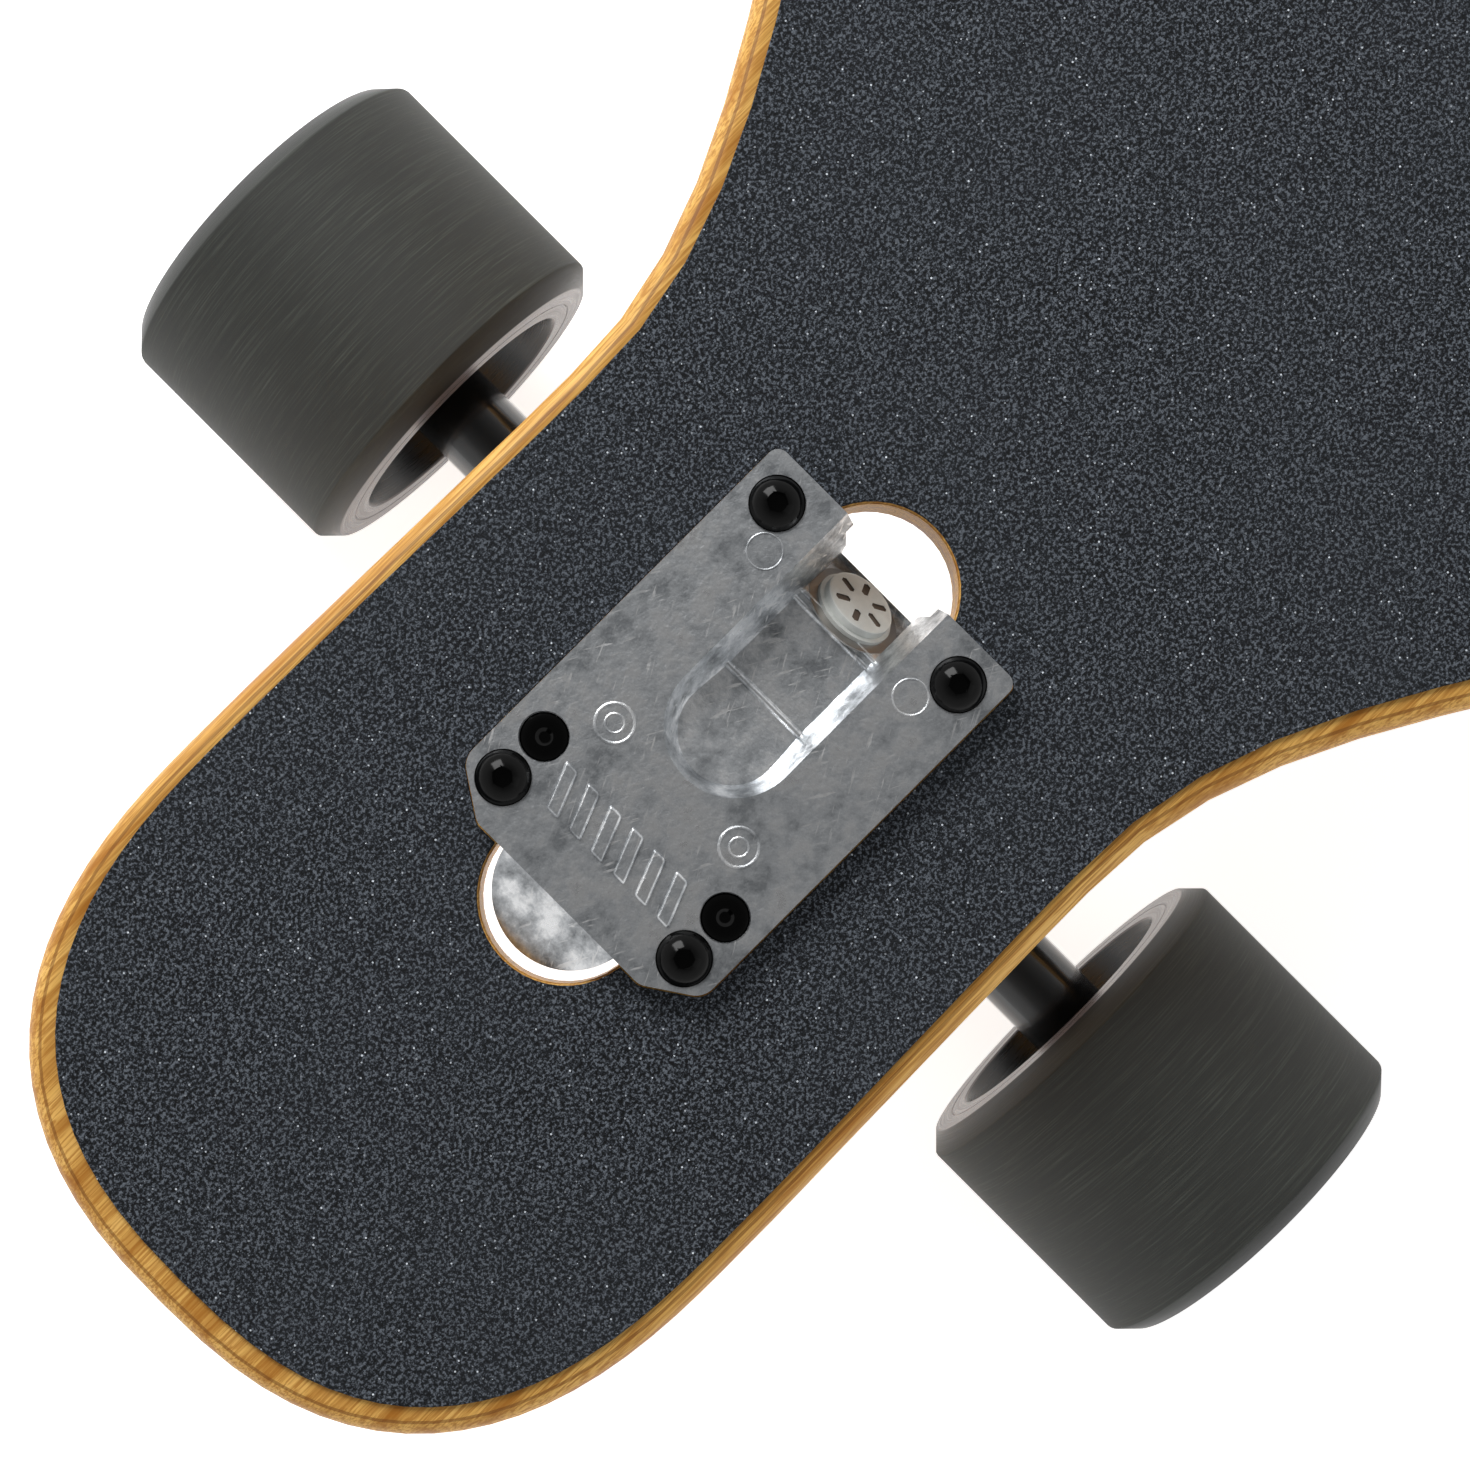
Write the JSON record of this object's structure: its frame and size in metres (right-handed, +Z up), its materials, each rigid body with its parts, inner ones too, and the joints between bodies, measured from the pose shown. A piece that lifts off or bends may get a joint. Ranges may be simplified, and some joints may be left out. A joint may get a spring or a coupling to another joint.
{
  "type": "electric skateboard",
  "caption": "Drop-through bamboo longboard with cast reverse-kingpin trucks, urethane wheels, a belt motor on the rear truck and an underslung battery enclosure.",
  "frame": {"origin": "on the ground under the middle of the deck", "axes": "+X to the nose, +Y to the rider's left, +Z up"},
  "size_m": [1.04, 0.2596, 0.1056],
  "materials": {
    "bamboo": "satin lacquer, fine end grain",
    "grip_tape": "coarse abrasive grit",
    "cast_aluminium": "raw die cast, scuffed",
    "pivot_urethane": "satin",
    "zinc_steel": "zinc plated",
    "bushing_urethane": "satin",
    "black_paint": "gloss powder coat",
    "wheel_urethane": "ground tread",
    "core_plastic": "moulded",
    "bearing_steel": "ground",
    "black_oxide": "glossy black oxide",
    "stainless": "bright",
    "tub_plastic": "fine grain moulded",
    "gasket_foam": "closed-cell foam",
    "cell_wrap": "heat-shrink wrap over a cell",
    "nickel": "rolled strip",
    "circuit_board": "solder mask",
    "electronics_case": "moulded",
    "machined_aluminium": "machined and anodised",
    "port_plastic": "moulded",
    "cap_rubber": "soft matt",
    "motor_paint": "satin",
    "copper_windings": "enamelled wire",
    "rotor_steel": "turned",
    "belt_rubber": "ribbed",
    "pulley_plastic": "moulded"
  },
  "bodies": {
    "board": {"deck": "bamboo", "grip_tape": "grip_tape", "front_baseplate": "cast_aluminium", "front_pivot_cup": "pivot_urethane", "front_kingpin": "zinc_steel", "front_boardside_bushing": "bushing_urethane", "front_roadside_bushing": "bushing_urethane", "front_cupped_washers": "zinc_steel", "front_kingpin_nut": "zinc_steel", "rear_baseplate": "cast_aluminium", "rear_pivot_cup": "pivot_urethane", "rear_kingpin": "zinc_steel", "rear_boardside_bushing": "bushing_urethane", "rear_roadside_bushing": "bushing_urethane", "rear_cupped_washers": "zinc_steel", "rear_kingpin_nut": "zinc_steel", "mount_bolts": "black_oxide", "mount_nuts": "zinc_steel", "enclosure_tub": "tub_plastic", "enclosure_gasket": "gasket_foam", "enclosure_screws": "stainless", "battery_cells": "cell_wrap", "battery_links": "nickel", "bms_board": "circuit_board", "speed_controller": "electronics_case", "heat_sink": "machined_aluminium", "receiver": "electronics_case", "charge_port": "port_plastic", "button_bezel": "machined_aluminium", "cable_gland": "tub_plastic"},
    "front_hanger": {"front_hanger": "black_paint", "front_axle": "zinc_steel", "front_axle_hardware": "zinc_steel"},
    "rear_hanger": {"rear_hanger": "black_paint", "rear_axle": "zinc_steel", "rear_axle_hardware": "zinc_steel", "motor_mount": "machined_aluminium", "motor_screws": "black_oxide", "motor_housing": "motor_paint", "motor_stator": "copper_windings", "drive_belt": "belt_rubber"},
    "motor_rotor": {"motor_rotor": "rotor_steel", "motor_pulley": "machined_aluminium"},
    "front_left_wheel": {"front_left_tyre": "wheel_urethane", "front_left_core": "core_plastic", "front_left_bearings": "bearing_steel"},
    "front_right_wheel": {"front_right_tyre": "wheel_urethane", "front_right_core": "core_plastic", "front_right_bearings": "bearing_steel"},
    "rear_left_wheel": {"rear_left_tyre": "wheel_urethane", "rear_left_core": "core_plastic", "rear_left_bearings": "bearing_steel"},
    "rear_right_wheel": {"rear_right_tyre": "wheel_urethane", "rear_right_core": "core_plastic", "rear_right_bearings": "bearing_steel", "wheel_pulley": "pulley_plastic"},
    "power_button": {"power_button": "port_plastic"},
    "charge_cap": {"charge_cap": "cap_rubber"}
  },
  "joints": [
    {"name": "front_steer", "type": "hinge", "parent": "board", "child": "front_hanger", "pos_m": [0.38534, 0, 0.06579], "axis": [0.6428, 0, 0.766], "range_deg": [-14, 14], "stiffness_Nm_per_rad": 80, "deforming": ["front_boardside_bushing", "front_roadside_bushing"]},
    {"name": "rear_steer", "type": "hinge", "parent": "board", "child": "rear_hanger", "pos_m": [-0.38534, 0, 0.06579], "axis": [-0.6428, 0, 0.766], "range_deg": [-14, 14], "stiffness_Nm_per_rad": 80, "deforming": ["rear_boardside_bushing", "rear_roadside_bushing"]},
    {"name": "front_left_spin", "type": "hinge", "parent": "front_hanger", "child": "front_left_wheel", "pos_m": [0.3765, 0.10405, 0.035], "axis": [0, 1, 0], "continuous": true},
    {"name": "front_right_spin", "type": "hinge", "parent": "front_hanger", "child": "front_right_wheel", "pos_m": [0.3765, -0.10405, 0.035], "axis": [0, 1, 0], "continuous": true},
    {"name": "rear_left_spin", "type": "hinge", "parent": "rear_hanger", "child": "rear_left_wheel", "pos_m": [-0.3765, 0.10405, 0.035], "axis": [0, 1, 0], "continuous": true},
    {"name": "rear_right_spin", "type": "hinge", "parent": "rear_hanger", "child": "rear_right_wheel", "pos_m": [-0.3765, -0.10405, 0.035], "axis": [0, 1, 0], "continuous": true},
    {"name": "motor_spin", "type": "hinge", "parent": "rear_hanger", "child": "motor_rotor", "pos_m": [-0.45176, -0.02, 0.04558], "axis": [0, 1, 0], "continuous": true},
    {"name": "power_button_press", "type": "slide", "parent": "board", "child": "power_button", "axis": [0, 1, 0], "range_m": [0, 0.0015], "stiffness_N_per_m": 400},
    {"name": "charge_cap_hinge", "type": "hinge", "parent": "board", "child": "charge_cap", "pos_m": [0.15, -0.0886, 0.07812], "axis": [-1, 0, 0], "range_deg": [0, 90]}
  ],
  "couplings": [
    {"joint": "motor_spin", "follows": "rear_right_spin", "ratio": 2.4}
  ]
}
